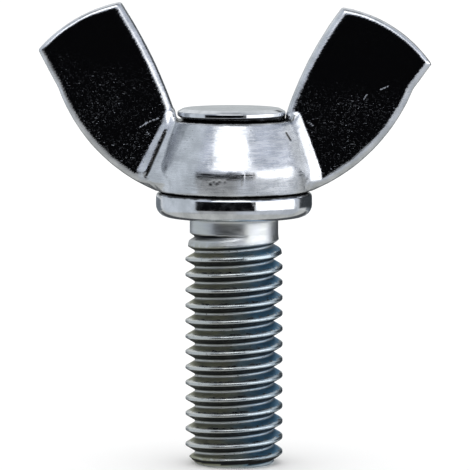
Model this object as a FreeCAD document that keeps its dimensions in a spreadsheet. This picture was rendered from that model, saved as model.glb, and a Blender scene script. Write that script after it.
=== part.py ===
import FreeCAD, Part
import math
import os
import re
import Sketcher

# A wing screw: a forged wing head, riveted for good on the spigot of a threaded stud.
# The frame's origin is on the screw's axis, in the plane that bears on the work.
# +Z points up to the wings and X runs along their span. The work's thread takes the -Z end.

SIZES = [
    # name, millimetres or count, what it is
    ("thread_diameter", 7.85, "over the crests, M8 with the plating and play of a 6g thread"),
    ("thread_pitch", 1.25, "M8 coarse, right hand"),
    ("depth_share", 0.56, "of the pitch: crest to root, on one side"),
    ("root_share", 0.145, "of the pitch: width of the groove's bottom"),
    ("flank_angle", 60, "degrees between the flanks"),
    ("stud_length", 20, "bearing plane to the thread's end"),
    ("end_chamfer", 0.85, "at the thread's end"),
    ("thread_start", 0.955, "how far past the end the groove's middle starts, on the +X side"),
    ("groove_stop", 0.25, "of a turn, after its last full one, to stop the groove at the back"),
    ("groove_over", 0.12, "how far the cutting profile stands outside the crests"),
    ("neck_step", 0.365, "crests over the neck, which is the blank that the thread is rolled on"),
    ("neck_length", 1.5, "bearing plane to the run-in"),
    ("run_in", 1.3, "length over which the crests rise to full size"),
    ("neck_fillet", 0.4, "under the collar"),
    ("collar_radius", 6.3, "of the stud's bearing collar"),
    ("collar_height", 1.95, "bearing plane to the top of the collar"),
    ("collar_round", 1.15, "lower outer edge of the collar"),
    ("collar_break", 0.25, "upper outer edge of the collar"),
    ("spigot_radius", 3.0, "to the valleys between the serrations"),
    ("serration_height", 0.28, "of each serration over the spigot"),
    ("serration_width", 0.6, "of each serration where it leaves the spigot"),
    ("serration_tip", 0.24, "width of each serration's tip"),
    ("serration_count", 16, "around the spigot and the bore"),
    ("spigot_clearance", 0.03, "between the spigot and the head's bore, all round"),
    ("rivet_radius", 4.34, "of the rivet head at its widest"),
    ("rivet_waist", 0.42, "height of the rivet head's widest place"),
    ("rivet_height", 0.84, "over the hub"),
    ("rivet_undercut", 0.24, "its widest radius less the radius that it sits on"),
    ("rivet_shoulder", 0.34, "its widest radius less its flat top's"),
    ("rivet_bow", 0.63, "radius of its rounded edge"),
    ("hub_radius", 6.15, "of the hub's skirt"),
    ("hub_skirt", 1.95, "height of the skirt"),
    ("hub_ledge", 0.56, "hub's top outside the rivet head"),
    ("hub_height", 5.8, "of the whole hub"),
    ("hub_break", 0.15, "edges of the hub"),
    ("wing_thickness", 2.4, "of the flat wings"),
    ("wing_rim", 0.6, "bevel all round the wings' faces"),
    ("hollow_low", 1.8, "radius of the hollow between wing and hub, at the top of the skirt"),
    ("hollow_high", 1.0, "its radius at the top of the hub"),
    ("hollow_foot", 0.4, "its radius at its foot"),
    ("hollow_rise", 0.45, "its foot over the hub's underside"),
    ("hollow_sink", 0.02, "how far its edges run into the wing and the hub"),
    ("wing_root_gap", 0.12, "between the rivet head and the wings' inner edges"),
    ("wing_start", 0.1, "wings' lower edges over the hub's underside"),
    ("wing_overlap", 0.1, "how far inside the skirt the wings' lower edges start"),
    ("left_crown_x", 9.05, "inner top corner"),
    ("left_crown_z", 17.2, "inner top corner"),
    ("left_tip_x", 15.65, "outer top corner"),
    ("left_tip_z", 13.4, "outer top corner"),
    ("left_bend_x", 14.07, "where the outer edge straightens"),
    ("left_bend_z", 10.37, "where the outer edge straightens"),
    ("left_sweep", 12.3, "radius of the outer edge below the bend"),
    ("left_inner_bow", 38, "radius of the inner edge"),
    ("left_top_bow", 11.8, "radius of the top edge"),
    ("right_crown_x", 8.65, "inner top corner"),
    ("right_crown_z", 16.75, "inner top corner"),
    ("right_tip_x", 15.8, "outer top corner"),
    ("right_tip_z", 12.25, "outer top corner"),
    ("right_bend_x", 14.39, "where the outer edge straightens"),
    ("right_bend_z", 10.37, "where the outer edge straightens"),
    ("right_sweep", 13.2, "radius of the outer edge below the bend"),
    ("right_inner_bow", 29, "radius of the inner edge"),
    ("right_top_bow", 10.7, "radius of the top edge"),
]

FLAT = 1e-6  # millimetres within which a point counts as in a plane

# what several outlines share, as expressions of those sizes
CREST = "(thread_diameter / 2)"
THREAD_DEPTH = "(thread_pitch * depth_share)"
NECK = "(thread_diameter / 2 - neck_step)"
HUB_TOP = "(collar_height + hub_height)"
HUB_TOP_RADIUS = "(rivet_radius + hub_ledge)"
BORE = "(spigot_radius + spigot_clearance)"
WING_ROOT = "(rivet_radius + wing_root_gap)"

doc = FreeCAD.newDocument("wing_screw")
sheet = doc.addObject("Spreadsheet::Sheet", "Sizes")


def fill_sheet():
    """One row a size: its name, its value, which the alias names, and what it is."""
    for row, (name, size, note) in enumerate(SIZES, start=1):
        sheet.set(f"A{row}", name)
        sheet.set(f"B{row}", str(size))
        sheet.set(f"C{row}", note)
        sheet.setAlias(f"B{row}", name)
    doc.recompute()


def new_body(label):
    body = doc.addObject("PartDesign::Body", label)
    body.Label = label
    return body


def new_sketch(body, name, role):
    """A sketch on one of the body's own origin planes."""
    sketch = body.newObject("Sketcher::SketchObject", name)
    plane = next(f for f in body.Origin.OriginFeatures if f.Role == role)
    sketch.AttachmentSupport = [(plane, "")]
    sketch.MapMode = "FlatFace"
    doc.recompute()
    return sketch


def value(expression):
    """What an expression of the sheet's aliases comes to now."""
    result = sheet.evalExpression(expression)
    return float(getattr(result, "Value", result))


def qualified(expression):
    """The same expression with the sheet's name before each alias."""
    names = {name for name, _, _ in SIZES}
    return re.sub(r"[a-z_]+", lambda word: f"Sizes.{word[0]}" if word[0] in names else word[0], expression)


def bound(sketch, constraint, name, expression):
    """Adds a constraint that follows an expression of the sheet's aliases."""
    index = sketch.addConstraint(constraint)
    sketch.renameConstraint(index, name)
    sketch.setExpression(f"Constraints.{name}", qualified(expression))


def outline(sketch, corners, arcs=None):
    """A closed outline through the corners, each a name and two expressions.

    arcs gives the side that the stretch leaving a corner bulges to, seen along the way
    that the outline runs, and its radius. The other stretches are straight.
    """
    arcs = arcs or {}
    place = [FreeCAD.Vector(value(x), value(y), 0) for _, x, y in corners]
    begin = []
    end = []
    for index, (name, _, _) in enumerate(corners):
        here = place[index]
        there = place[(index + 1) % len(corners)]
        side, radius = arcs.get(name, (None, None))
        # a sketch keeps an arc counterclockwise, so one that bulges left runs from its second point
        begin.append(2 if side == "left" else 1)
        end.append(1 if side == "left" else 2)
        if side is None:
            sketch.addGeometry(Part.LineSegment(here, there), False)
            continue
        chord = there - here
        rise = value(radius) - math.sqrt(value(radius) ** 2 - chord.Length ** 2 / 4)
        across = FreeCAD.Vector(chord.y, -chord.x, 0).normalize() * (rise if side == "right" else -rise)
        sketch.addGeometry(Part.Arc(here, (here + there) / 2 + across, there), False)
    for index, (name, x, y) in enumerate(corners):
        after = (index + 1) % len(corners)
        sketch.addConstraint(Sketcher.Constraint("Coincident", index, end[index], after, begin[after]))
        bound(sketch, Sketcher.Constraint("DistanceX", -1, 1, index, begin[index], value(x)), f"{name}_x", x)
        bound(sketch, Sketcher.Constraint("DistanceY", -1, 1, index, begin[index], value(y)), f"{name}_y", y)
        if name in arcs:
            radius = arcs[name][1]
            bound(sketch, Sketcher.Constraint("Radius", index, value(radius)), f"{name}_radius", radius)
    doc.recompute()


def add_feature(body, kind, name, profile=None):
    """A feature on the body's tip, which it becomes."""
    feature = body.newObject(f"PartDesign::{kind}", name)
    if profile:
        feature.Profile = profile
    body.Tip = feature
    return feature


def revolve(body, name, corners, arcs=None):
    """An outline in radius and height, turned once about the screw's axis."""
    profile = new_sketch(body, f"{name}_outline", "XZ_Plane")
    outline(profile, corners, arcs)
    turned = add_feature(body, "Revolution", name, profile)
    turned.ReferenceAxis = (profile, ["V_Axis"])
    turned.Angle = 360
    doc.recompute()


def bevel_faces(body, name, size, offset):
    """A chamfer on every edge that lies in the two planes at the offset either side of the XZ plane."""
    base = body.Tip
    edges = []
    for number, edge in enumerate(base.Shape.Edges, start=1):
        middle = edge.valueAt((edge.FirstParameter + edge.LastParameter) / 2)
        if abs(abs(middle.y) - value(offset)) < FLAT:
            edges.append(f"Edge{number}")
    bevel = add_feature(body, "Chamfer", name)
    bevel.Base = (base, edges)
    bevel.setExpression("Size", qualified(size))
    doc.recompute()


def draw_wing(body, side, sign):
    """One wing's plate, which starts inside the hub. Its outline runs from the foot round the tip."""
    plate = new_sketch(body, f"{side}_outline", "XZ_Plane")
    corners = [
        ("start", "(hub_radius - wing_overlap)", "collar_height + wing_start"),
        ("bend", f"{side}_bend_x", f"{side}_bend_z"),
        ("tip", f"{side}_tip_x", f"{side}_tip_z"),
        ("crown", f"{side}_crown_x", f"{side}_crown_z"),
        ("root", WING_ROOT, f"{HUB_TOP} + rivet_waist"),
        ("core", WING_ROOT, "collar_height + hub_height / 2"),
    ]
    bulge = "left" if sign else "right"
    outline(
        plate,
        [(name, f"{sign}{x}", z) for name, x, z in corners],
        arcs={
            "start": (bulge, f"{side}_sweep"),
            "tip": (bulge, f"{side}_top_bow"),
            "crown": (bulge, f"{side}_inner_bow"),
        },
    )
    blade = add_feature(body, "Pad", f"{side}_wing", plate)
    blade.SideType = "Symmetric"
    blade.setExpression("Length", "Sizes.wing_thickness")
    doc.recompute()


def draw_hollow(body, side, sign, level, height, hub, radius):
    """One level of the hollow that blends a wing into the hub: two arcs, one each side of the wing."""
    section = new_sketch(body, f"{side}_hollow_{level}", "XY_Plane")
    section.setExpression(".AttachmentOffset.Base.z", qualified(height))
    doc.recompute()
    rim = f"({hub} - hollow_sink)"
    half = "(wing_thickness / 2 - hollow_sink)"
    reach = f"sqrt(({rim} + {radius})^2 - ({half} + {radius})^2)"
    share = f"{rim} / ({rim} + {radius})"
    bulge = "right" if sign else "left"
    outline(
        section,
        [
            ("wing_back", f"{sign}{reach}", half),
            ("hub_back", f"{sign}{reach} * {share}", f"({half} + {radius}) * {share}"),
            ("hub_front", f"{sign}{reach} * {share}", f"-({half} + {radius}) * {share}"),
            ("wing_front", f"{sign}{reach}", f"-{half}"),
        ],
        arcs={
            "wing_back": (bulge, radius),
            "hub_front": (bulge, radius),
        },
    )
    return section


def blend_wing(body, side, sign):
    """The hollow between a wing and the hub, lofted from the skirt's foot to the hub's top."""
    foot = draw_hollow(body, side, sign, "foot", "collar_height + hollow_rise", "hub_radius", "hollow_foot")
    low = draw_hollow(body, side, sign, "low", "collar_height + hub_skirt", "hub_radius", "hollow_low")
    high = draw_hollow(body, side, sign, "high", f"{HUB_TOP} - hub_break", HUB_TOP_RADIUS, "hollow_high")
    blend = add_feature(body, "AdditiveLoft", f"{side}_blend", foot)
    blend.Sections = [low, high]
    blend.Ruled = True
    doc.recompute()


def draw_serration(body, name, clearance):
    """One serration of the spigot, or of the bore around it, from above."""
    tooth = new_sketch(body, name, "XY_Plane")
    tooth.setExpression(".AttachmentOffset.Base.z", "Sizes.collar_height")
    doc.recompute()
    tip = f"spigot_radius + serration_height + {clearance}"
    outline(
        tooth,
        [
            ("foot_right", "spigot_radius - serration_height", f"-(serration_width / 2 + {clearance})"),
            ("tip_right", tip, f"-(serration_tip / 2 + {clearance})"),
            ("tip_left", tip, f"serration_tip / 2 + {clearance}"),
            ("foot_left", "spigot_radius - serration_height", f"serration_width / 2 + {clearance}"),
        ],
    )
    return tooth


def repeat_round(body, feature, count):
    """The feature repeated evenly about the screw's axis."""
    pattern = add_feature(body, "PolarPattern", f"{feature.Name}_ring")
    pattern.Originals = [feature]
    axis = next(f for f in body.Origin.OriginFeatures if f.Role == "Z_Axis")
    pattern.Axis = (axis, [""])
    pattern.Angle = 360
    pattern.setExpression("Occurrences", qualified(count))
    doc.recompute()


def make_wing_head():
    """The two wings and the hub that joins them, bored and serrated for the spigot."""
    body = new_body("wing_head")
    draw_wing(body, "right", "")
    draw_wing(body, "left", "-")
    bevel_faces(body, "wing_rims", "wing_rim", "wing_thickness / 2")
    revolve(
        body,
        "hub",
        [
            ("bore_foot", BORE, "collar_height"),
            ("foot", "hub_radius - hub_break", "collar_height"),
            ("skirt_low", "hub_radius", "collar_height + hub_break"),
            ("skirt_high", "hub_radius", "collar_height + hub_skirt"),
            ("cone_high", HUB_TOP_RADIUS, f"{HUB_TOP} - hub_break"),
            ("top", f"{HUB_TOP_RADIUS} - hub_break", HUB_TOP),
            ("bore_top", BORE, HUB_TOP),
        ],
    )
    blend_wing(body, "right", "")
    blend_wing(body, "left", "-")
    tooth = draw_serration(body, "bore_tooth", "spigot_clearance")
    groove = add_feature(body, "Pocket", "bore_serration", tooth)
    groove.Type = "Length"
    groove.Reversed = True
    groove.setExpression("Length", "Sizes.hub_height")
    doc.recompute()
    repeat_round(body, groove, "serration_count")
    return body


def make_threaded_stud():
    """The stud: rivet head, serrated spigot, bearing collar, neck and thread, all one piece."""
    body = new_body("threaded_stud")
    revolve(
        body,
        "stud",
        [
            ("end_middle", "0", "-stud_length"),
            ("end", f"{CREST} - end_chamfer", "-stud_length"),
            ("first_crest", CREST, "end_chamfer - stud_length"),
            ("last_crest", CREST, "-neck_length - run_in"),
            ("run_in_top", NECK, "-neck_length"),
            ("neck_top", NECK, "-neck_fillet"),
            ("seat_inner", f"{NECK} + neck_fillet", "0"),
            ("seat_outer", "collar_radius - collar_round", "0"),
            ("collar_side", "collar_radius", "collar_round"),
            ("collar_break_low", "collar_radius", "collar_height - collar_break"),
            ("collar_break_high", "collar_radius - collar_break", "collar_height"),
            ("spigot_foot", "spigot_radius", "collar_height"),
            ("spigot_top", "spigot_radius", HUB_TOP),
            ("rivet_under", "rivet_radius - rivet_undercut", HUB_TOP),
            ("rivet_side", "rivet_radius", f"{HUB_TOP} + rivet_waist"),
            ("rivet_top", "rivet_radius - rivet_shoulder", f"{HUB_TOP} + rivet_height"),
            ("rivet_middle", "0", f"{HUB_TOP} + rivet_height"),
        ],
        arcs={
            "neck_top": ("left", "neck_fillet"),
            "seat_outer": ("right", "collar_round"),
            "rivet_under": ("right", "rivet_bow"),
            "rivet_side": ("right", "rivet_bow"),
        },
    )
    tooth = draw_serration(body, "spigot_tooth", "0")
    rib = add_feature(body, "Pad", "spigot_serration", tooth)
    rib.setExpression("Length", "Sizes.hub_height")
    doc.recompute()
    repeat_round(body, rib, "serration_count")
    cut_thread(body)
    return body


def cut_thread(body):
    """The groove between the crests, from past the end up to the neck, where it stops at the back."""
    groove = new_sketch(body, "groove_profile", "XZ_Plane")
    root = f"{CREST} - {THREAD_DEPTH}"
    mouth = f"{CREST} + groove_over"
    level = "-stud_length - thread_start"
    half_root = "(thread_pitch * root_share / 2)"
    half_mouth = f"({half_root} + ({THREAD_DEPTH} + groove_over) * tan(flank_angle / 2 * 1deg))"
    outline(
        groove,
        [
            ("root_low", root, f"{level} - {half_root}"),
            ("mouth_low", mouth, f"{level} - {half_mouth}"),
            ("mouth_high", mouth, f"{level} + {half_mouth}"),
            ("root_high", root, f"{level} + {half_root}"),
        ],
    )
    helix = add_feature(body, "SubtractiveHelix", "thread_groove", groove)
    helix.ReferenceAxis = (groove, ["V_Axis"])
    helix.Mode = "pitch-turns-angle"
    helix.LeftHanded = False
    helix.setExpression("Pitch", "Sizes.thread_pitch")
    full_turns = "floor((stud_length + thread_start - neck_length) / thread_pitch)"
    helix.setExpression("Turns", qualified(f"{full_turns} + groove_stop"))
    doc.recompute()


def check_and_write():
    """Stops at the first failed object or bad solid, then writes one STEP file a body."""
    for item in doc.Objects:
        if {"Invalid", "Error"} & set(item.State):
            raise RuntimeError(f"{item.Label} failed: {item.getStatusString()}")
    bodies = [item for item in doc.Objects if item.TypeId == "PartDesign::Body"]
    for body in bodies:
        shape = body.Shape
        if shape.isNull() or not shape.isValid() or len(shape.Solids) != 1:
            raise RuntimeError(f"{body.Label} isn't one valid solid")
    os.makedirs("parts", exist_ok=True)
    for body in bodies:
        body.Shape.exportStep(f"parts/{body.Label}.step")
        print(f"{body.Label}: {body.Shape.Volume:.1f} mm3")


fill_sheet()
make_wing_head()
make_threaded_stud()
doc.recompute()
check_and_write()
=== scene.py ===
"""A forged wing screw: a winged head riveted onto a threaded stud with a collar, zinc plated."""

import math

import bmesh
import bpy
from bpy.props import FloatProperty, FloatVectorProperty, IntProperty, PointerProperty
from mathutils import Matrix, Vector, noise


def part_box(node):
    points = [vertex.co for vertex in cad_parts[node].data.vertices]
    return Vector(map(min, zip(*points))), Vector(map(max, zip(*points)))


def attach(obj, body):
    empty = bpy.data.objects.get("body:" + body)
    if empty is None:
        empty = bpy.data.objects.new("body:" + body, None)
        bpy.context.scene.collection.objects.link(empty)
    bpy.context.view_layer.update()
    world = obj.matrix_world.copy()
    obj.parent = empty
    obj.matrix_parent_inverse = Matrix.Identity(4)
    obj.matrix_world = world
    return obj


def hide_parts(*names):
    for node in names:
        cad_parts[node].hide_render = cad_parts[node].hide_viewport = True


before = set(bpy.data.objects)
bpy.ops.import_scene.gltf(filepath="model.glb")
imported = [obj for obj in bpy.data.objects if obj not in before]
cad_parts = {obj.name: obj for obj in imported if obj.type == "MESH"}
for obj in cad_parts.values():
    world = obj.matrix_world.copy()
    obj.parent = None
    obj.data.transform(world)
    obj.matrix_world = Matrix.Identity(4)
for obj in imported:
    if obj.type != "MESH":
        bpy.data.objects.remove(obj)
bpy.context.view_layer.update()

bl_info = {
    "name": "Wing screw",
    "version": (1, 0, 0),
    "blender": (4, 5, 0),
    "location": "View3D > Sidebar > Wing screw",
    "description": "Builds a forged wing screw and a plain studio around its packed frame",
    "category": "Object",
}

HEAD_LOW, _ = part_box("wing_head")
STUD_LOW, STUD_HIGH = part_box("threaded_stud")

MM = 0.001  # the meshes are shaped in millimetres and made metres once they are finished
WELD = 0.002  # millimetres within which two points are one
FULL_TURN = 2 * math.pi
SHADE_RUN = 1.5  # millimetres under the neck where the groove has painted shade
NECK_GAP = 0.06  # millimetres of the neck that join the thread to the rest of the stud
RIVET_RISE = 0.0001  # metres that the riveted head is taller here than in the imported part


def length(name, description, default):
    """A size in metres that a user may change."""
    return FloatProperty(name=name, description=description, default=default, unit="LENGTH",
                         precision=6)


def tone(name, description, default):
    """A colour that a user may change."""
    return FloatVectorProperty(name=name, description=description, default=default, subtype="COLOR",
                               size=3, min=0, max=1)


class WingHeadSizes(bpy.types.PropertyGroup):
    """Sizes of the winged head."""

    hub_radius: length("Hub radius", "Over the hub's ridge", 0.00629)
    hub_foot: length("Hub foot", "Radius of the hub's underside", 0.00604)
    hub_base: length("Hub base", "Height of the hub's underside", HEAD_LOW.z)
    hub_ridge: length("Hub ridge", "Height of the ridge where the cone meets the skirt", 0.0039)
    hub_top: length("Hub top", "Height of the hub's flat top", 0.00775)
    hub_top_radius: length("Hub top radius", "Of the hub's flat top", 0.0049)
    bore: length("Bore", "Radius of the hole for the stud's spigot", 0.00308)
    wing_half: length("Wing half thickness", "From the middle plane to a wing's face", 0.0012)
    rim: length("Rim", "Rounding around a wing's faces", 0.00066)
    rim_left_inner: length("Left inner rim", "Rounding of the left wing's inner edge", 0.00084)
    rim_right_inner: length("Right inner rim", "Rounding of the right wing's inner edge", 0.00056)
    rim_top: length("Top rim", "Rounding of the wings' top edges", 0.0003)
    voxel: length("Forging grain", "Smallest detail kept when the parts are fused", 0.000111)
    waviness: length("Waviness", "How far the forged surface strays from true", 0.000012)


class StudSizes(bpy.types.PropertyGroup):
    """Sizes of the threaded stud."""

    crest: length("Crest radius", "Over the thread", 0.003925)
    depth: length("Thread depth", "Crest to root, on one side", 0.00076)
    pitch: length("Pitch", "Of the right-hand thread", 0.00125)
    groove_phase: length("Groove height", "Of a groove's middle on the +X side", -0.020955)
    root_width: length("Root width", "Of the groove's bottom", 0.00015)
    end: length("End", "Height of the stud's end face", STUD_LOW.z)
    end_chamfer: length("End chamfer", "At the thread's end", 0.00085)
    neck: length("Neck radius", "Of the plain neck under the collar", 0.00356)
    neck_end: length("Neck end", "Height where the thread starts", -0.0009)
    groove_run: length("Groove run-in", "Length over which the groove sinks to full depth", 0.0008)
    crest_run: length("Crest run-in", "Length over which the crests rise to full size", 0.0023)
    collar: length("Collar radius", "Of the bearing collar", STUD_HIGH.y)
    collar_top: length("Collar top", "Height of the collar's upper face", HEAD_LOW.z)
    collar_round: length("Collar rounding", "Lower outer edge of the collar", 0.00098)
    spigot: length("Spigot radius", "Inside the head's bore", 0.003)
    rivet: length("Rivet radius", "Of the riveted head at its widest", 0.00434)
    rivet_base: length("Rivet base", "Height of the hub's top under the riveted head", 0.00775)
    rivet_top: length("Rivet top", "Height of the riveted head's top", STUD_HIGH.z + RIVET_RISE)
    rivet_aside: length("Rivet offset", "How far the riveted head is pressed off the axis", -0.0002)
    columns: IntProperty(name="Columns", description="Around the stud", default=144, min=24)


class Finishes(bpy.types.PropertyGroup):
    """Colours of the plating, of the light and shade painted on it, and of the studio."""

    zinc_light: tone("Light zinc", "Bright plating", (0.72, 0.74, 0.78))
    zinc_grey: tone("Grey zinc", "Plating where it is duller", (0.55, 0.57, 0.60))
    # painted reflection: the wings' faces are darker than the rest of the zinc, standing in for the
    # dark they reflect
    wing_face_painted_dark: tone("Wing face", "Mirror-smooth plating of the wings' faces", (0.40, 0.41, 0.42))
    scratch: tone("Scratch", "Fine scratches in the wings' faces", (0.62, 0.68, 0.82))
    speck: tone("Speck", "Pits in the plating", (0.12, 0.12, 0.11))
    # painted shade: the dark of the seam between hub and collar, of the ring round the riveted
    # head, of the head's creases and pits, and the painted shadow under the riveted head
    painted_shade: tone("Painted_shade_colour", "In the seam between the hub and the collar", (0.03, 0.028, 0.025))
    # also the neck's tone; on the thread it is the painted highlight of the crests and of the
    # grooves' bottoms
    thread_crest: tone("Thread crest", "Plating on the thread's crests", (0.56, 0.58, 0.57))
    # painted shade: near black on the thread's down-facing flanks and in the groove under the neck
    thread_painted_shade: tone("Thread, underside", "Painted_underside_shade under the thread's crests", (0.010, 0.011, 0.013))
    # painted reflection: olive on the thread's -X side and blue on its +X side, for the
    # surroundings each side reflects
    thread_olive_reflection: tone("Thread, olive", "Yellowish plating of one side", (0.38, 0.38, 0.28))
    thread_blue_reflection: tone("Thread, blue", "Bluish plating of the other side", (0.12, 0.28, 0.44))
    floor: tone("Floor", "Pale studio floor", (0.93, 0.93, 0.93))


# ---------------------------------------------------------------- mesh helpers


def arc(start, end, radius, steps):
    """Points after start up to end on an arc of that radius, bulging to the right of the way."""
    a, b = Vector(start), Vector(end)
    chord = b - a
    inward = Vector((-chord.y, chord.x)).normalized()
    centre = (a + b) / 2 + inward * math.sqrt(radius ** 2 - (chord.length / 2) ** 2)
    spoke = a - centre
    sweep = 2 * math.asin(chord.length / 2 / radius)
    return [tuple(centre + Matrix.Rotation(sweep * i / steps, 2) @ spoke)
            for i in range(1, steps + 1)]


def loft(bm, sections):
    """A closed solid through these sections, each a loop of as many points."""
    loops = []
    for section in sections:
        verts = [bm.verts.new(point) for point in section]
        loops.append([bm.edges.new((verts[i - 1], verts[i])) for i in range(len(verts))])
    for lower, upper in zip(loops, loops[1:]):
        bmesh.ops.bridge_loops(bm, edges=lower + upper)
    for end in (loops[0], loops[-1]):
        bmesh.ops.contextual_create(bm, geom=end)


def revolve(bm, profile, steps, closed):
    """Spins a profile of (radius, height) points all the way round the axis."""
    verts = [bm.verts.new((radius, 0, height)) for radius, height in profile]
    pairs = zip(verts, verts[1:] + verts[:1] if closed else verts[1:])
    edges = [bm.edges.new(pair) for pair in pairs]
    bmesh.ops.spin(bm, geom=verts + edges, cent=(0, 0, 0), axis=(0, 0, 1), angle=FULL_TURN,
                   steps=steps, use_merge=True)


def rounded(profile, radii, steps=6):
    """The profile with its inner corners rounded: each point's radius, or 0 for a sharp one."""
    result = []
    for i, (point, radius) in enumerate(zip(profile, radii)):
        if not radius:
            result.append(point)
            continue
        here = Vector(point)
        before = (Vector(profile[i - 1]) - here).normalized()
        after = (Vector(profile[i + 1]) - here).normalized()
        half = before.angle(after) / 2
        centre = here + (before + after).normalized() * radius / math.sin(half)
        first = here + before * radius / math.tan(half) - centre
        last = here + after * radius / math.tan(half) - centre
        turn = first.angle_signed(last)
        result += [tuple(centre + Matrix.Rotation(-turn * k / steps, 2) @ first)
                   for k in range(steps + 1)]
    return result


def eased(share):
    """A share from 0 to 1 that starts and ends gently."""
    share = min(max(share, 0), 1)
    return share * share * (3 - 2 * share)


def ripple(point, layers):
    """Noise at a point, summed over layers of (waves per millimetre, strength)."""
    return sum(strength * noise.noise(point * grain) for grain, strength in layers)


def evaluated(name, bm, set_up):
    """The mesh of bm after the modifiers that set_up adds, as a new bmesh."""
    mesh = bpy.data.meshes.new(name)
    bm.to_mesh(mesh)
    holder = bpy.data.objects.new(name, mesh)
    bpy.context.scene.collection.objects.link(holder)
    set_up(holder)
    depsgraph = bpy.context.evaluated_depsgraph_get()
    done = bpy.data.meshes.new_from_object(holder.evaluated_get(depsgraph))
    result = bmesh.new()
    result.from_mesh(done)
    bpy.data.objects.remove(holder)
    bpy.data.meshes.remove(mesh)
    bpy.data.meshes.remove(done)
    return result


def finish_piece(name, bm, material, node):
    """Turns a bmesh in millimetres into a piece of the object that stands for a CAD node."""
    bmesh.ops.scale(bm, verts=bm.verts, vec=(MM, MM, MM))
    if any(not edge.is_manifold for edge in bm.edges):
        raise RuntimeError(f"{name} is not closed")
    for face in bm.faces:
        face.smooth = True
    mesh = bpy.data.meshes.new(name)
    bm.to_mesh(mesh)
    bm.free()
    mesh.materials.append(material)
    piece = bpy.data.objects.new(name, mesh)
    bpy.context.scene.collection.objects.link(piece)
    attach(piece, "root")
    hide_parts(node)
    return piece


# ---------------------------------------------------------------- node helpers


def add_node(tree, kind, values=None, **settings):
    """A node of that kind, with its settings and the values or links of its inputs."""
    node = tree.nodes.new(kind)
    for key, setting in settings.items():
        setattr(node, key, setting)
    for key, value in (values or {}).items():
        if isinstance(value, bpy.types.NodeSocket):
            tree.links.new(value, node.inputs[key])
        else:
            node.inputs[key].default_value = value
    return node


def maths(tree, operation, first, second=0.0):
    """The result of one sum."""
    return add_node(tree, "ShaderNodeMath", {0: first, 1: second}, operation=operation).outputs[0]


def ramp(tree, value, low, high, to_low=0.0, to_high=1.0):
    """A value eased from one range to another."""
    return add_node(tree, "ShaderNodeMapRange", {"Value": value, "From Min": low, "From Max": high,
                                                 "To Min": to_low, "To Max": to_high},
                    interpolation_type="SMOOTHSTEP").outputs[0]


def blend(tree, share, first, second):
    """A colour between two others."""
    node = add_node(tree, "ShaderNodeMix", {0: share}, data_type="RGBA")
    for socket, value in ((node.inputs[6], first), (node.inputs[7], second)):
        if isinstance(value, bpy.types.NodeSocket):
            tree.links.new(value, socket)
        else:
            socket.default_value = (*value, 1)
    return node.outputs[2]


def grain(tree, place, scale, detail=2.0, stretch=(1, 1, 1), turn=(0, 0, 0)):
    """Noise of that many features to the metre, stretched and turned."""
    mapped = add_node(tree, "ShaderNodeMapping",
                      {"Vector": place, "Scale": stretch, "Rotation": turn})
    return add_node(tree, "ShaderNodeTexNoise", {"Vector": mapped.outputs[0], "Scale": scale,
                                                 "Detail": detail}).outputs[0]


def times(tree, first, second):
    """The product of two values."""
    return maths(tree, "MULTIPLY", first, second)


def plus(tree, first, second):
    """The sum of two values."""
    return maths(tree, "ADD", first, second)


def larger(tree, first, second):
    """The larger of two values."""
    return maths(tree, "MAXIMUM", first, second)


def painted(tree, name):
    """A value that the mesh holds at each of its points."""
    return add_node(tree, "ShaderNodeAttribute", attribute_name=name).outputs["Fac"]


def new_material(name):
    """An empty metal material: its tree, its shader and where its points are."""
    material = bpy.data.materials.new(name)
    material.use_nodes = True
    tree = material.node_tree
    shader = tree.nodes["Principled BSDF"]
    shader.inputs["Metallic"].default_value = 1.0
    place = tree.nodes.new("ShaderNodeTexCoord").outputs["Object"]
    return material, tree, shader, place


def finish_material(tree, shader, colour, rough, relief, strength, depth):
    """Joins a material's colour, roughness and relief to its shader."""
    tree.links.new(colour, shader.inputs["Base Color"])
    tree.links.new(rough, shader.inputs["Roughness"])
    bump = add_node(tree, "ShaderNodeBump",
                    {"Height": relief, "Strength": strength, "Distance": depth})
    tree.links.new(bump.outputs[0], shader.inputs["Normal"])


def between(tree, share, first, second):
    """A value between two others."""
    node = add_node(tree, "ShaderNodeMix", {0: share, 2: first, 3: second}, data_type="FLOAT")
    return node.outputs[0]


# where a pattern made of noise begins and ends: crisp for clouds, mild for the rest
CRISP = (0.35, 0.65)
MILD = (0.3, 0.7)

# features to the metre in the patterns of the plating
CLOUDS = 700
SCRATCH_PATCHES = 420
SEAM_EDGE = 1500
HEAD_PITS = 5200
HEAD_RELIEF = 2200
HUB_LINES = (900, 900, 9000)
THREAD_PITS = 4200
CREST_HIGHLIGHT_GRAIN = 2600
TINT_PATCHES = 500
STUD_RELIEF = 2400
FINE_RELIEF = 9000
COLLAR_SHINE = 1800
TURNED_SHINE = 900

# fine scratches of the wings' faces: features to the metre along x, y and z, turn in radians,
# threshold and strength
SCRATCH_LAYERS = [
    ((3000, 1, 9000), 0.7, 0.60, 0.17),
    ((9000, 1, 3600), 0.4, 0.60, 0.15),
    ((4200, 1, 4200), 0.0, 0.62, 0.18),
    ((2400, 1, 9000), -0.5, 0.67, 0.30),
    ((6000, 1, 7000), 1.1, 0.70, 0.38),
]
SCRATCH_EDGE = 0.06  # how far over its threshold the noise makes a full scratch
SCRATCHED_BELOW = 0.0138  # metres
SCRATCH_FADE = 0.004  # metres
SCRATCH_LEAN = 0.1  # how much higher the scratches reach on the left wing
SCRATCH_FAINTEST = 0.7

# painted shade in the seams, metres
SEAM_REACH = 0.00008
HUB_TOP_REACH = 0.00003
HUB_TOP_FADE = 0.0001
RIVET_SEAM_LIFT = 0.00005
SEAM_FADE = 0.00012
SEAM_RAGGED = 0.00005
SEAM_STRENGTH = 0.95

# the stud's zones, metres, and shares of the pitch
SHANK_TOP = (0.0001, -0.0003)
TINT_STARTS = (0.6, 1.5)
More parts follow.
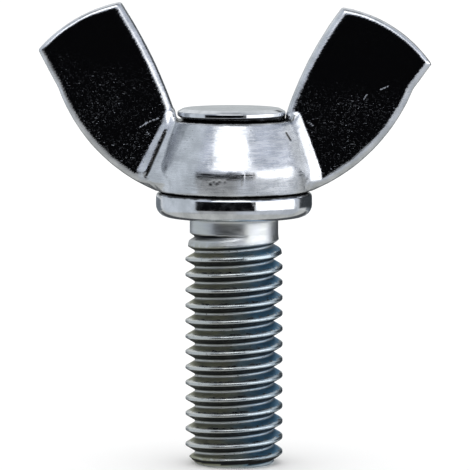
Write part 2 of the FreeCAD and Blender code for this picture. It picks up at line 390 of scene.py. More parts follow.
# metres along X over which the thread's painted reflection turns from olive to blue
REFLECTION_TINT_CHANGES = (-0.0018, 0.0026)
# metres under the crest over which the crests' painted highlight comes in
CREST_HIGHLIGHT_SPAN = (0.00034, 0.00010)
CREST_RAGGED = 0.00012
# metres over the root over which the grooves' painted highlight comes in
ROOT_HIGHLIGHT_SPAN = (0.0001, 0.00003)
ROOT_HIGHLIGHT = 0.95  # how strong the painted highlight on the grooves' bottoms is
CREST_BLUE_REFLECTION = 0.35  # how far the painted highlight turns to the blue painted reflection on the +X side

# pits in the plating: where in the noise they begin and end, and their weakest and strongest
HEAD_PIT = (0.69, 0.76, 0.0, 0.7)
THREAD_PIT = (0.66, 0.72, 0.0, 0.85)

# roughness, from the smoothest to the roughest
FORGED_ROUGH = (0.16, 0.36)
FACE_ROUGH = (0.09, 0.60)
COLLAR_ROUGH = (0.07, 0.17)
NECK_ROUGH = (0.30, 0.42)
SHANK_SHINE = (-0.02, -0.10)  # added to the neck's, on the neck and on the thread
FLANK_ROUGH = 0.24  # added between the thread's crests

# relief: strength and depth in metres, and shares of its layers and places
HEAD_BUMP = (0.55, 0.000012)
HEAD_FINE = 0.3
HEAD_LINES = 0.4
FACE_BUMP = 0.25
STUD_BUMP = (0.6, 0.000014)
STUD_FINE = 0.4
SHANK_BUMP = (1.2, 0.12)  # on the thread and on the neck


def scratches(tree, place):
    """How strongly the wings' faces are scratched: faintly low down, not at all near the tips."""
    total = 0.0
    for spread, turn, threshold, share in SCRATCH_LAYERS:
        field = grain(tree, place, 1.0, 1.0, stretch=spread, turn=(0, turn, 0))
        streaks = ramp(tree, field, threshold, threshold + SCRATCH_EDGE)
        total = larger(tree, total, times(tree, streaks, share))
    axes = add_node(tree, "ShaderNodeSeparateXYZ", {0: place}).outputs
    leaning = plus(tree, axes[2], times(tree, axes[0], SCRATCH_LEAN))
    low = ramp(tree, leaning, SCRATCHED_BELOW, SCRATCHED_BELOW - SCRATCH_FADE)
    patchy = ramp(tree, grain(tree, place, SCRATCH_PATCHES, 2.0), *CRISP, SCRATCH_FAINTEST, 1.0)
    return times(tree, total, times(tree, low, patchy))


def from_axis(tree, place):
    """How far each place is from the axis."""
    flat = add_node(tree, "ShaderNodeVectorMath", {0: place, 1: (1, 1, 0)}, operation="MULTIPLY")
    measured = add_node(tree, "ShaderNodeVectorMath", {0: flat.outputs[0]}, operation="LENGTH")
    return measured.outputs["Value"]


def seam_shade(tree, place, height, reach):
    """A mask of painted shade in a seam at that height."""
    up = add_node(tree, "ShaderNodeSeparateXYZ", {0: place}).outputs[2]
    ragged = ramp(tree, grain(tree, place, SEAM_EDGE, 3.0), *MILD, -SEAM_RAGGED, SEAM_RAGGED)
    away = maths(tree, "ABSOLUTE", maths(tree, "SUBTRACT", up, height))
    return ramp(tree, plus(tree, away, ragged), reach, reach + SEAM_FADE, SEAM_STRENGTH, 0.0)


def zinc(tree, place, tones):
    """Bright plating with duller clouds in it, and the mask of the clouds."""
    cloudy = ramp(tree, grain(tree, place, CLOUDS, 4.0), *CRISP)
    return blend(tree, cloudy, tuple(tones.zinc_light), tuple(tones.zinc_grey)), cloudy


def head_material(tones, sizes):
    """Bright forged zinc, with mirror-smooth faces on the wings painted darker for their dark
    reflection, and painted shade in its seams, creases and pits.
    """
    material, tree, shader, place = new_material("forged_zinc")
    flat = painted(tree, "flat")
    plating, _ = zinc(tree, place, tones)
    pits = ramp(tree, grain(tree, place, HEAD_PITS, 2.0), *HEAD_PIT)
    plating = blend(tree, pits, plating, tuple(tones.speck))
    top_radius = sizes.hub_top_radius
    # painted shade: a dark seam over the collar, a ring round the riveted head on the hub's top,
    # and the creases and pits held in the mesh
    on_top = ramp(tree, from_axis(tree, place), top_radius, top_radius - HUB_TOP_FADE)
    around_rivet = times(tree, seam_shade(tree, place, sizes.hub_top, HUB_TOP_REACH), on_top)
    shaded = larger(tree, seam_shade(tree, place, HEAD_LOW.z, SEAM_REACH), around_rivet)
    shaded = larger(tree, shaded, painted(tree, "painted_shade"))
    plating = blend(tree, shaded, plating, tuple(tones.painted_shade))
    worn = larger(tree, scratches(tree, place), painted(tree, "gouge"))
    # the wings' faces: painted dark reflection, with real scratches and gouges on it
    face = blend(tree, worn, tuple(tones.wing_face_painted_dark), tuple(tones.scratch))
    lines = grain(tree, place, 1.0, 3.0, stretch=HUB_LINES)
    zinc_rough = ramp(tree, lines, *MILD, *FORGED_ROUGH)
    face_rough = ramp(tree, worn, 0.0, 0.5, *FACE_ROUGH)
    relief = plus(tree, grain(tree, place, HEAD_RELIEF, 3.0),
                  times(tree, grain(tree, place, FINE_RELIEF, 2.0), HEAD_FINE))
    relief = plus(tree, relief, times(tree, lines, HEAD_LINES))
    relief = times(tree, relief, ramp(tree, flat, 0.0, 1.0, 1.0, FACE_BUMP))
    finish_material(tree, shader, blend(tree, flat, plating, face),
                    between(tree, flat, zinc_rough, face_rough), relief, *HEAD_BUMP)
    return material


def thread_colour(tree, place, tones, sizes):
    """The thread's colour with painted light: an olive reflection on one side and a blue one on the
    other, highlights on its crests and grooves' bottoms, and the crests' mask.
    """
    across = add_node(tree, "ShaderNodeSeparateXYZ", {0: place}).outputs[0]
    radius = from_axis(tree, place)
    # painted reflection: olive on the -X side, blue on the +X side, with a ragged change between
    tint = maths(tree, "SUBTRACT", grain(tree, place, TINT_PATCHES, 2.0), 0.5)
    side = ramp(tree, plus(tree, across, times(tree, tint, sizes.crest)), *REFLECTION_TINT_CHANGES)
    rolled = blend(tree, side, tuple(tones.thread_olive_reflection), tuple(tones.thread_blue_reflection))
    # painted highlights on the crests, with a ragged edge, and on the grooves' bottoms
    worn = ramp(tree, grain(tree, place, CREST_HIGHLIGHT_GRAIN, 3.0), *MILD, -CREST_RAGGED, CREST_RAGGED)
    raised = ramp(tree, plus(tree, radius, worn), *(sizes.crest - under for under in CREST_HIGHLIGHT_SPAN))
    root = sizes.crest - sizes.depth
    sunken = ramp(tree, radius, *(root + over for over in ROOT_HIGHLIGHT_SPAN), 0.0, ROOT_HIGHLIGHT)
    bluish = times(tree, side, CREST_BLUE_REFLECTION)
    painted_highlight = blend(tree, bluish, tuple(tones.thread_crest), tuple(tones.thread_blue_reflection))
    rolled = blend(tree, larger(tree, raised, sunken), rolled, painted_highlight)
    pits = ramp(tree, grain(tree, place, THREAD_PITS, 2.0), *THREAD_PIT)
    return blend(tree, pits, rolled, tuple(tones.speck)), raised


def stud_material(tones, sizes):
    """Bright zinc on the collar and the riveted head, duller on the neck; on the thread painted
    reflections, highlights and shade, and painted shade in the seams.
    """
    material, tree, shader, place = new_material("rolled_zinc")
    up = add_node(tree, "ShaderNodeSeparateXYZ", {0: place}).outputs[2]
    shank = ramp(tree, up, *SHANK_TOP)
    threaded = ramp(tree, up, *(sizes.neck_end - share * sizes.pitch for share in TINT_STARTS))
    plating, cloudy = zinc(tree, place, tones)
    # painted shade in the seam over the collar and painted shadow under the riveted head
    shaded = larger(tree, seam_shade(tree, place, HEAD_LOW.z, SEAM_REACH),
                   seam_shade(tree, place, sizes.rivet_base + RIVET_SEAM_LIFT, SEAM_REACH))
    plating = blend(tree, shaded, plating, tuple(tones.painted_shade))
    rolled, raised = thread_colour(tree, place, tones, sizes)
    neck = blend(tree, cloudy, tuple(tones.thread_crest), tuple(tones.zinc_grey))
    rolled = blend(tree, threaded, neck, rolled)
    # painted shade on the down-facing flanks and in the groove under the neck
    rolled = blend(tree, painted(tree, "under"), rolled, tuple(tones.thread_painted_shade))
    smooth = ramp(tree, grain(tree, place, COLLAR_SHINE, 3.0), *MILD, *COLLAR_ROUGH)
    turned = grain(tree, place, TURNED_SHINE, 3.0, stretch=(1, 1, 9))
    dull = plus(tree, ramp(tree, turned, *MILD, *NECK_ROUGH),
                ramp(tree, threaded, 0.0, 1.0, *SHANK_SHINE))
    flanks = times(tree, ramp(tree, raised, 0.0, 1.0, FLANK_ROUGH, 0.0), threaded)
    relief = plus(tree, grain(tree, place, STUD_RELIEF, 3.0, stretch=(1, 1, 2.5)),
                  times(tree, grain(tree, place, FINE_RELIEF, 2.0), STUD_FINE))
    calm = ramp(tree, up, sizes.neck_end - sizes.pitch, sizes.neck_end, *SHANK_BUMP)
    finish_material(tree, shader, blend(tree, shank, plating, rolled),
                    between(tree, shank, smooth, plus(tree, dull, flanks)),
                    times(tree, relief, calm), *STUD_BUMP)
    return material


# ---------------------------------------------------------------- winged head

# each wing's outline in millimetres, from its foot round by its tip and crown to its root
WINGS = {
    "left": {"side": -1, "bend": (14.02, 10.30), "tip": (15.65, 13.4), "crown": (9.05, 17.2),
             "root": (4.68, 8.17), "sweep": 14.0, "top_bow": 11.8, "inner_bow": 38},
    "right": {"side": 1, "bend": (14.30, 10.20), "tip": (15.8, 12.25), "crown": (8.65, 16.75),
              "root": (4.14, 8.12), "sweep": 14.8, "top_bow": 10.7, "inner_bow": 29},
}
WING_FOOT = (6.3, 2.1)
WING_CORE = (4.46, 4.85)
SWEEP_STEPS = 20  # along a wing's lower edge
EDGE_STEPS = 12  # along its top and its inner edge

# the webs between a wing and the hub: at each height, points of their surface from the wing's face
# to the hub, each (how far out, how far forward), millimetres
WEBS = {
    "left": [
        (2.1, [(6.3, 0.8), (6.0, 1.3), (5.6, 2.0), (5.0, 3.2)]),
        (2.9, [(7.6, 1.15), (7.0, 1.5), (6.6, 1.75), (5.3, 3.15)]),
        (3.6, [(7.82, 1.2), (7.1, 1.6), (6.86, 1.62), (5.6, 2.7)]),
        (7.5, [(5.74, 1.2), (5.4, 1.42), (5.25, 1.44), (4.65, 1.7)]),
        (8.6, [(5.64, 1.2), (5.5, 1.2), (5.35, 1.15), (5.2, 1.05)]),
    ],
    "right": [
        (2.1, [(6.3, 0.8), (6.1, 1.1), (5.9, 1.5), (5.4, 2.4)]),
        (2.9, [(6.98, 1.2), (6.6, 1.45), (6.2, 1.75), (5.6, 2.5)]),
        (3.7, [(6.93, 1.2), (6.5, 1.5), (6.1, 1.8), (5.65, 2.6)]),
        (7.6, [(5.52, 1.2), (5.25, 1.35), (4.95, 1.52), (4.6, 1.7)]),
        (8.4, [(5.25, 1.2), (5.15, 1.22), (5.05, 1.2), (4.95, 1.1)]),
    ],
}
WEB_DEPTH = 0.8  # millimetres that a web runs into the wing and the hub
WEB_INNER = 4.75  # millimetres from the axis that a web stays clear of
WEB_THINNEST = 0.1  # millimetres that it has at least

HUB_ROUNDS = [0, 0.28, 2.3, 0.25, 0]  # rounding of the corners of the hub's profile, millimetres
RIDGE_CUT = 0.03  # millimetres that the rounding takes off its ridge
HUB_COLUMNS = 180

SMOOTHINGS = 3  # of the fused head
HEAD_WAVES = [(0.9, 1), (2.3, 0.5)]  # per millimetre, and how strong
FACE_CALM = 0.7  # share of the waviness that the wings' flat faces are spared
FACE_NEAR = 0.03  # millimetres from a flat face within which a point belongs to it
FACE_LEVEL = 0.985  # how far a point's normal has to lie along the face's


def wing_plate(wing, sizes):
    """One flat wing with its rims rounded."""
    start, bend, tip, crown = WING_FOOT, wing["bend"], wing["tip"], wing["crown"]
    runs = [
        ([start] + arc(start, bend, wing["sweep"], SWEEP_STEPS), sizes.rim),
        ([tip], sizes.rim),
        (arc(tip, crown, wing["top_bow"], EDGE_STEPS), sizes.rim_top),
        (arc(crown, wing["root"], wing["inner_bow"], EDGE_STEPS),
         sizes.rim_left_inner if wing["side"] < 0 else sizes.rim_right_inner),
        ([WING_CORE], sizes.rim),
    ]
    widest = max(width for _, width in runs)
    half = sizes.wing_half / MM
    bm = bmesh.new()
    weight = bm.edges.layers.float.new("bevel_weight_edge")
    points = [(x, z, width) for run, width in runs for x, z in run]
    verts = [bm.verts.new((wing["side"] * x, -half, z)) for x, z, _ in points]
    face = bm.faces.new(verts)
    for i, (_, _, width) in enumerate(points):
        bm.edges.get((verts[i - 1], verts[i]))[weight] = width / widest
    copied = bmesh.ops.extrude_face_region(bm, geom=[face], use_keep_orig=True)["geom"]
    moved = [item for item in copied if isinstance(item, bmesh.types.BMVert)]
    bmesh.ops.translate(bm, verts=moved, vec=(0, 2 * half, 0))
    bmesh.ops.recalc_face_normals(bm, faces=bm.faces)

    def round_rims(holder):
        bevel = holder.modifiers.new("Rims", "BEVEL")
        bevel.limit_method = "WEIGHT"
        bevel.width = widest / MM
        bevel.segments = 3
        bevel.profile = 0.5

    plate = evaluated("wing_plate", bm, round_rims)
    bm.free()
    return plate


def web(bm, levels, side, face):
    """The slanting web in one corner between a wing and the hub."""
    sections = []
    for height, surface in levels:
        edge = surface[-1][0]
        inward = max(edge - WEB_DEPTH, min(WEB_INNER, edge - WEB_THINNEST))
        deep = min(forward for _, forward in surface) - WEB_DEPTH
        corners = surface + [(inward, surface[-1][1]), (inward, deep), (surface[0][0], deep)]
        sections.append([(side * x, face * y, height) for x, y in corners])
    loft(bm, sections)


def head_parts(sizes):
    """The hub, the wings and the webs between them, as separate closed solids in millimetres."""
    bm = bmesh.new()
    base, ridge, top = sizes.hub_base / MM, sizes.hub_ridge / MM, sizes.hub_top / MM
    bore, foot, radius = sizes.bore / MM, sizes.hub_foot / MM, sizes.hub_radius / MM
    corners = [
        (bore, base), (foot, base), (radius + RIDGE_CUT, ridge),
        (sizes.hub_top_radius / MM, top), (bore, top),
    ]
    revolve(bm, rounded(corners, HUB_ROUNDS), HUB_COLUMNS, closed=True)
    for name, wing in WINGS.items():
        plate = wing_plate(wing, sizes)
        mesh = bpy.data.meshes.new(name)
        plate.to_mesh(mesh)
        bm.from_mesh(mesh)
        bpy.data.meshes.remove(mesh)
        plate.free()
        for face in (-1, 1):
            web(bm, WEBS[name], wing["side"], face)
    bmesh.ops.remove_doubles(bm, verts=bm.verts, dist=WELD / 10)
    bmesh.ops.recalc_face_normals(bm, faces=bm.faces)
    return bm


# deep scratches in the wings' front faces, millimetres: start and end, each (x, z)
GOUGES = [
    ((-7.5, 7.25), (-6.75, 7.7)), ((-6.75, 7.7), (-6.05, 7.95)), ((-7.1, 7.35), (-7.0, 7.7)),
    ((-6.75, 6.6), (-6.95, 6.85)), ((5.86, 7.7), (6.35, 7.35)), ((11.7, 10.25), (12.3, 10.5)),
    ((10.35, 9.5), (10.6, 9.8)),
]
GOUGE_HALF = 0.036  # millimetres
GOUGE_REACH = 1.6  # half widths from a scratch's middle to its end
GOUGE_STRENGTH = 0.5

# creases, pits and scars of the head's front: start and end, each (x, z), half width and depth, all
# in millimetres, and how dark their painted shade is
MARKS = [
    ((-7.02, 3.4), (-5.5, 6.85), 0.11, 0.09, 1.0), ((4.15, 6.95), (4.5, 6.35), 0.07, 0.02, 1.0),
    ((-1.9, 3.12), (-1.8, 3.12), 0.06, 0.05, 0.9), ((-1.62, 3.3), (-1.55, 3.28), 0.05, 0.04, 0.9),
    ((-1.36, 3.18), (-1.3, 3.15), 0.06, 0.05, 0.9), ((-1.2, 3.3), (-1.1, 3.26), 0.05, 0.04, 0.8),
    ((-0.75, 3.24), (-0.68, 3.24), 0.05, 0.04, 0.8), ((0.75, 3.9), (0.7, 2.95), 0.05, -0.04, 0.0),
]
MARK_REACH = 1.5  # half widths from a mark's middle to its end
MARK_FRONT = -1.0  # millimetres; the marks lie in front of this


def marked(vert):
    """How deep a point of the front is, and how much painted shade it gets, where it lies in a
    crease, a pit or a scar.
    """
    if vert.co.y > MARK_FRONT:
        return 0.0, 0.0
    here = Vector((vert.co.x, vert.co.z))
    deep, shaded = 0.0, 0.0
    for start, end, half, depth, painted_shade in MARKS:
        share = eased(MARK_REACH - distance_to_run(here, Vector(start), Vector(end)) / half)
        deep += share * depth
        shaded = max(shaded, share * painted_shade)
    return deep, shaded


def gouged(vert):
    """How much a point of a front face lies in a deep scratch."""
    here = Vector((vert.co.x, vert.co.z))
    if vert.co.y > 0:
        return 0.0
    nearest = min(distance_to_run(here, Vector(start), Vector(end)) for start, end in GOUGES)
    return GOUGE_STRENGTH * min(max(GOUGE_REACH - nearest / GOUGE_HALF, 0), 1)


def distance_to_run(point, start, end):
    """How far a point is from a straight run."""
    run = end - start
    share = min(max((point - start).dot(run) / run.length_squared, 0), 1)
    return (point - start - run * share).length


def is_on_face(vert, half):
    """Whether a point belongs to a wing's flat face."""
    return abs(abs(vert.co.y) - half) < FACE_NEAR and abs(vert.normal.y) > FACE_LEVEL


def fuse_head(sizes):
    """The forged head in one closed solid, with its flat faces marked."""
    parts = head_parts(sizes)

    def fuse(holder):
        remesh = holder.modifiers.new("Fuse", "REMESH")
        remesh.mode = "VOXEL"
        remesh.voxel_size = sizes.voxel / MM

    bm = evaluated("wing_head_parts", parts, fuse)
    parts.free()
    for _ in range(SMOOTHINGS):
        bmesh.ops.smooth_vert(bm, verts=bm.verts, factor=0.5, use_axis_x=True, use_axis_y=True,
                              use_axis_z=True)
    bm.normal_update()
    half = sizes.wing_half / MM
    flat = bm.verts.layers.float.new("flat")
    gouge = bm.verts.layers.float.new("gouge")
    for vert in bm.verts:
        vert[flat] = float(is_on_face(vert, half))
        vert[gouge] = gouged(vert) if vert[flat] else 0.0
    # painted shade in the creases and pits of the marks
    painted_shade = bm.verts.layers.float.new("painted_shade")
    waviness = sizes.waviness / MM
    for vert in bm.verts:
        if not vert[flat]:
            deep, vert[painted_shade] = marked(vert)
            vert.co -= vert.normal * deep
        wave = ripple(vert.co, HEAD_WAVES)
        vert.co += vert.normal * wave * waviness * (1 - FACE_CALM * vert[flat])
    return bm


class WINGSCREW_OT_head(bpy.types.Operator):
    """Adds the forged head with its two wings"""

    bl_idname = "wing_screw.add_head"
    bl_label = "Winged head"
    bl_options = {"REGISTER", "UNDO"}

    def execute(self, context):
        sizes = context.scene.wing_screw_head
        material = head_material(context.scene.wing_screw_finishes, sizes)
        finish_piece("forged_wing_head", fuse_head(sizes), material, "wing_head")
        return {"FINISHED"}


# ---------------------------------------------------------------- threaded stud


SPARE_TURNS = 4  # of the helical surface, cut off afterwards
THREAD_WAVES = [(3.1, 0.5), (7.7, 0.5)]  # per millimetre, and how strong
CREST_ROUGH = 0.02  # millimetres that the crests' height varies
CREST_WORN = 0.012  # millimetres that they are worn down
CREST_START = 0.4  # millimetres under the neck where they start to rise
CAP_RINGS = [1.2, 0.4]  # radii of the rings in the riveted head's flat top, millimetres
CAP_INSETS = [0.06, 0.2]  # millimetres between the rings of a flat end
END_UNSHADED = 0.3  # millimetres over the stud's end that get no painted shade
UNDER_TILT = 0.4  # how far down a normal points where the painted shade under the crests starts
UNDER_SOFT = 0.3  # and how much further it is full
NECK_SHADE = 0.03  # millimetres under the neck's radius where its painted shade starts
NECK_SHADE_SOFT = 0.14  # and how much deeper it is full
SHADE_SIDE = 1.6  # millimetres along +X where the neck's painted shade ends


def thread_profile(sizes):
    """(radius, height) points of one pitch of the thread, from one groove's middle to the next."""
    crest, depth, pitch = sizes.crest / MM, sizes.depth / MM, sizes.pitch / MM
    half_root = sizes.root_width / MM / 2
    flank = depth * math.tan(math.radians(30))
    root = crest - depth
    rise = [
        (root, 0.0),
        (root, half_root * 0.7),
        (root + depth * 0.1, half_root + flank * 0.1),
        (root + depth * 0.4, half_root + flank * 0.4),
        (root + depth * 0.7, half_root + flank * 0.7),
        (crest - depth * 0.04, half_root + flank * 0.96),
        (crest, half_root + flank + 0.03),
    ]
    fall = [(radius, pitch - height) for radius, height in reversed(rise[1:])]
    return rise + fall


def shape_thread(bm, sizes):
    """The helical surface, cut off at the stud's end and in the neck, with chamfer and run-in."""
    pitch, end = sizes.pitch / MM, sizes.end / MM
    join, neck = sizes.neck_end / MM, sizes.neck / MM
    turns = int((join - end) / pitch) + SPARE_TURNS
    one = thread_profile(sizes)
    low = sizes.groove_phase / MM - pitch
    points = [(radius, low + turn * pitch + height)
              for turn in range(turns) for radius, height in one]
    verts = [bm.verts.new((radius, 0, height)) for radius, height in points]
    edges = [bm.edges.new(pair) for pair in zip(verts, verts[1:])]
    bmesh.ops.spin(bm, geom=verts + edges, cent=(0, 0, 0), axis=(0, 0, 1), angle=FULL_TURN,
                   dvec=(0, 0, pitch / sizes.columns), steps=sizes.columns, use_merge=False)
    bmesh.ops.remove_doubles(bm, verts=bm.verts, dist=WELD)
    for height, outward in ((end, -1), (join, 1)):
        bmesh.ops.bisect_plane(bm, geom=bm.verts[:] + bm.edges[:] + bm.faces[:], dist=WELD / 4,
                               plane_co=(0, 0, height), plane_no=(0, 0, outward), clear_outer=True)
    crest = sizes.crest / MM
    root = crest - sizes.depth / MM
    chamfer = sizes.end_chamfer / MM
    for vert in bm.verts:
        radius, height = vert.co.xy.length, vert.co.z
        rough = CREST_ROUGH * ripple(vert.co, THREAD_WAVES)
        sunk = (crest - radius) * eased((join - height) / (sizes.groove_run / MM))
        wanted = crest - sunk + (rough - CREST_WORN) * (1 - sunk / (crest - root))
        risen = eased((join - CREST_START - height) / (sizes.crest_run / MM))
        wanted = min(wanted, neck + (crest - neck) * risen)
        wanted = min(wanted, crest - chamfer + (height - end))
        vert.co.xy *= wanted / radius


def stud_profile(sizes):
    """(radius, height) points from the neck up over the collar and spigot to the riveted head."""
    neck, collar, top = sizes.neck / MM, sizes.collar / MM, sizes.collar_top / MM
    join = sizes.neck_end / MM
    spigot, rivet = sizes.spigot / MM, sizes.rivet / MM
    base, crown = sizes.rivet_base / MM, sizes.rivet_top / MM
    corners = [
        (neck, join), (neck, 0), (collar, 0), (collar - 0.04, top), (spigot, top),
        (spigot, base), (rivet - 0.26, base), (rivet, base + 0.4), (rivet - 0.01, base + 0.7),
        (rivet - 0.45, crown), (0, crown),
    ]
    radii = [0, 0.35, sizes.collar_round / MM, 0.32, 0, 0, 0, 0.12, 0.1, 0.3, 0]
    return rounded(corners, radii)


def make_stud(sizes):
    """The whole stud in one closed solid, in millimetres."""
    bm = bmesh.new()
    shape_thread(bm, sizes)
    join, base = sizes.neck_end / MM, sizes.rivet_base / MM
    thread_edges = set(bm.edges)
    top_loop = [e for e in bm.edges if e.is_boundary and all(v.co.z > join - WELD for v in e.verts)]
    end_loop = [e for e in bm.edges if e.is_boundary and e not in top_loop]
    profile = stud_profile(sizes)
    top = profile.pop()[1]
    profile[0] = (profile[0][0], join + NECK_GAP)
    profile += [(radius, top) for radius in CAP_RINGS]
    revolve(bm, profile, sizes.columns, closed=False)
    upper = [e for e in bm.edges if e.is_boundary and e not in thread_edges]
    cap_loop = [e for e in upper if all(v.co.z > base for v in e.verts)]
    lower_loop = [e for e in upper if e not in cap_loop]
    for loop in (cap_loop, end_loop):
        cap = bmesh.ops.contextual_create(bm, geom=loop)["faces"]
        for width in CAP_INSETS:
            bmesh.ops.inset_region(bm, faces=cap, thickness=width)
    bmesh.ops.bridge_loops(bm, edges=top_loop + lower_loop)
    pressed = [vert for vert in bm.verts if vert.co.z > base + WELD]
    bmesh.ops.translate(bm, verts=pressed, vec=(sizes.rivet_aside / MM, 0, 0))
    bmesh.ops.recalc_face_normals(bm, faces=bm.faces)
    bm.normal_update()
    # painted shade: on surfaces facing down, and in the groove under the neck except on the +X side
    under = bm.verts.layers.float.new("under")
    for vert in bm.verts:
        radius, height = vert.co.xy.length, vert.co.z
        if sizes.end / MM + END_UNSHADED < height < join + NECK_GAP:
            vert[under] = eased((-vert.normal.z - UNDER_TILT) / UNDER_SOFT)
        if join - SHADE_RUN < height < join:
            sunk = eased((sizes.neck / MM - NECK_SHADE - radius) / NECK_SHADE_SOFT)
            vert[under] = max(vert[under], sunk * eased(SHADE_SIDE - vert.co.x))
    return bm


class WINGSCREW_OT_stud(bpy.types.Operator):
    """Adds the threaded stud with its collar and riveted head"""

    bl_idname = "wing_screw.add_stud"
    bl_label = "Threaded stud"
    bl_options = {"REGISTER", "UNDO"}

    def execute(self, context):
        sizes = context.scene.wing_screw_stud
        material = stud_material(context.scene.wing_screw_finishes, sizes)
        finish_piece("rolled_threaded_stud", make_stud(sizes), material, "threaded_stud")
        return {"FINISHED"}


# ---------------------------------------------------------------- studio

# soft panels of the reflection tent, in degrees round from the front and up from the horizon:
# (middle round, half width, middle up, half height, softness, colour, strength)
PANELS = [
    (0, 180, 82, 24, 10, (0.94, 0.97, 1.0), 0.42),
    (0, 180, -52, 44, 8, (0.97, 0.98, 0.94), 0.62),
    (0, 75, -23, 9, 6, (0.97, 0.98, 0.98), 0.50),
    (60, 50, -20, 14, 12, (0.90, 0.94, 1.0), 0.72),
    (180, 34, -41, 21, 6, (0.90, 0.95, 1.0), 0.10),
    (0, 45, 72, 12, 6, (0.90, 0.95, 1.0), 0.04),
    (180, 62, 24, 32, 12, (0.97, 0.99, 1.0), 0.92),
    (180, 42, -9, 6, 2, (0.8, 0.9, 1.0), 0.25),
    (180, 60, 7, 5, 3, (0.93, 0.98, 1.0), 0.58),
    (-95, 32, 12, 34, 10, (0.88, 0.94, 1.0), 0.78),
    (140, 24, 8, 15, 8, (0.8, 0.9, 1.0), 0.06),
    (62, 36, 4, 13, 4, (1.0, 1.0, 1.0), 2.2),
    (-4, 28, 38, 15, 4, (1.0, 1.0, 1.0), 2.4),
    (-13, 44, -2.5, 11.5, 2.5, (0.8, 0.8, 1.0), 0.004),
]
TENT_RADIUS = 0.6
TENT_TONE = (0.60, 0.64, 0.73)
FLOOR_SIZE = 4.0  # metres from its middle to its sides
SKY_STRENGTH = 1.2


def tent_material():
    """Light of the reflection tent: one tone with soft panels on it."""
    material = bpy.data.materials.new("reflection_tent")
    material.use_nodes = True
    tree = material.node_tree
    tree.nodes.clear()
    place = tree.nodes.new("ShaderNodeTexCoord").outputs["Object"]
    unit = add_node(tree, "ShaderNodeVectorMath", {0: place}, operation="NORMALIZE").outputs[0]
    axes = add_node(tree, "ShaderNodeSeparateXYZ", {0: unit}).outputs
    front = maths(tree, "MULTIPLY", axes[1], -1.0)
    degrees = 180 / math.pi
    up = maths(tree, "MULTIPLY", maths(tree, "ARCSINE", axes[2]), degrees)
    light = add_node(tree, "ShaderNodeRGB")
    light.outputs[0].default_value = (*TENT_TONE, 1)
    light = light.outputs[0]
    for middle, half_width, height, half_height, soft, colour, strength in PANELS:
        turn = math.radians(middle)
        along = maths(tree, "ADD", maths(tree, "MULTIPLY", axes[0], math.sin(turn)),
                      maths(tree, "MULTIPLY", front, math.cos(turn)))
        across = maths(tree, "SUBTRACT", maths(tree, "MULTIPLY", axes[0], math.cos(turn)),
                       maths(tree, "MULTIPLY", front, math.sin(turn)))
        round_by = maths(tree, "MULTIPLY", maths(tree, "ARCTAN2", across, along), degrees)
        aside = maths(tree, "ABSOLUTE", round_by)
        above = maths(tree, "ABSOLUTE", maths(tree, "SUBTRACT", up, height))
        mask = maths(tree, "MULTIPLY", ramp(tree, aside, half_width, half_width + soft, 1.0, 0.0),
                     ramp(tree, above, half_height, half_height + soft, 1.0, 0.0))
        light = blend(tree, mask, light, tuple(part * strength for part in colour))
    glow = add_node(tree, "ShaderNodeEmission", {"Color": light, "Strength": 1.0})
    output = tree.nodes.new("ShaderNodeOutputMaterial")
    tree.links.new(glow.outputs[0], output.inputs["Surface"])
    return material


def add_stage_mesh(name, bm, material):
    """An object of the studio, which isn't part of the wing screw."""
    mesh = bpy.data.meshes.new(name)
    bm.to_mesh(mesh)
    bm.free()
    mesh.materials.append(material)
    thing = bpy.data.objects.new(name, mesh)
    bpy.context.scene.collection.objects.link(thing)
    return thing


def add_tent():
    """A shell of light that only the metal's reflections see."""
    bm = bmesh.new()
    bmesh.ops.create_uvsphere(bm, u_segments=96, v_segments=48, radius=TENT_RADIUS)
    bmesh.ops.reverse_faces(bm, faces=bm.faces)
    tent = add_stage_mesh("reflection_tent", bm, tent_material())
    tent.visible_camera = False
    tent.visible_diffuse = False
    tent.visible_shadow = False
    tent.visible_transmission = False


def add_floor(colour):
    """A wide pale floor under the stud's end."""
    bm = bmesh.new()
    bmesh.ops.create_grid(bm, x_segments=8, y_segments=8, size=FLOOR_SIZE)
    bmesh.ops.translate(bm, verts=bm.verts, vec=(0, 0, STUD_LOW.z))
    material = bpy.data.materials.new("pale_floor")
    material.use_nodes = True
    shader = material.node_tree.nodes["Principled BSDF"]
    shader.inputs["Base Color"].default_value = (*colour, 1)
    shader.inputs["Roughness"].default_value = 0.9
    shader.inputs["Specular IOR Level"].default_value = 0.1
    floor = add_stage_mesh("studio_floor", bm, material)
    floor.visible_glossy = False


CAMERA_DISTANCE = 0.32
CAMERA_RISE = math.radians(5.6)
CAMERA_TARGET = Vector((0.00008, 0, -0.00153))
CAMERA_SPAN = 0.03778  # width that the picture covers at the target
SENSOR = 36.0


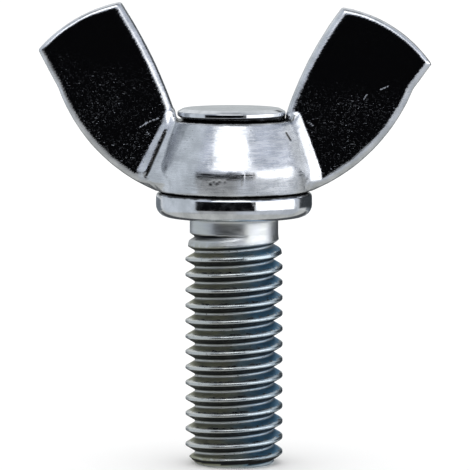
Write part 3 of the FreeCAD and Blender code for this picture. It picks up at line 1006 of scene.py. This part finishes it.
def add_camera():
    """A long lens in front of the wing screw and a little above it."""
    camera = bpy.data.cameras.new("camera")
    camera.sensor_width = SENSOR
    camera.lens = SENSOR * CAMERA_DISTANCE / CAMERA_SPAN
    viewer = bpy.data.objects.new("camera", camera)
    bpy.context.scene.collection.objects.link(viewer)
    flat = CAMERA_DISTANCE * math.cos(CAMERA_RISE)
    offset = Vector((0, -flat, CAMERA_DISTANCE * math.sin(CAMERA_RISE)))
    viewer.location = CAMERA_TARGET + offset
    viewer.rotation_euler = (-offset).to_track_quat("-Z", "Y").to_euler()
    bpy.context.scene.camera = viewer


class WINGSCREW_OT_studio(bpy.types.Operator):
    """Adds the pale floor, the soft light and the camera"""

    bl_idname = "wing_screw.add_studio"
    bl_label = "Studio"
    bl_options = {"REGISTER", "UNDO"}

    def execute(self, context):
        scene = context.scene
        scene.view_settings.view_transform = "Standard"
        world = bpy.data.worlds.new("soft_light")
        world.use_nodes = True
        sky = world.node_tree.nodes["Background"]
        sky.inputs["Color"].default_value = (1, 1, 1, 1)
        sky.inputs["Strength"].default_value = SKY_STRENGTH
        scene.world = world
        add_floor(scene.wing_screw_finishes.floor)
        add_tent()
        add_camera()
        return {"FINISHED"}


class WINGSCREW_PT_panel(bpy.types.Panel):
    """Lists the wing screw's pieces and sizes"""

    bl_idname = "WINGSCREW_PT_panel"
    bl_label = "Wing screw"
    bl_space_type = "VIEW_3D"
    bl_region_type = "UI"
    bl_category = "Wing screw"

    def draw(self, context):
        column = self.layout.column()
        for operator in OPERATORS:
            column.operator(operator.bl_idname)
        for group, name in GROUPS:
            box = self.layout.box()
            settings = getattr(context.scene, name)
            for key in group.__annotations__:
                box.prop(settings, key)


GROUPS = [
    (WingHeadSizes, "wing_screw_head"),
    (StudSizes, "wing_screw_stud"),
    (Finishes, "wing_screw_finishes"),
]
OPERATORS = [WINGSCREW_OT_head, WINGSCREW_OT_stud, WINGSCREW_OT_studio]


def register():
    for group, name in GROUPS:
        bpy.utils.register_class(group)
        setattr(bpy.types.Scene, name, PointerProperty(type=group))
    for operator in OPERATORS:
        bpy.utils.register_class(operator)
    bpy.utils.register_class(WINGSCREW_PT_panel)


def unregister():
    bpy.utils.unregister_class(WINGSCREW_PT_panel)
    for operator in reversed(OPERATORS):
        bpy.utils.unregister_class(operator)
    for group, name in reversed(GROUPS):
        delattr(bpy.types.Scene, name)
        bpy.utils.unregister_class(group)


def main():
    register()
    bpy.ops.wing_screw.add_head()
    bpy.ops.wing_screw.add_stud()
    bpy.ops.wing_screw.add_studio()


if __name__ == "__main__":
    main()
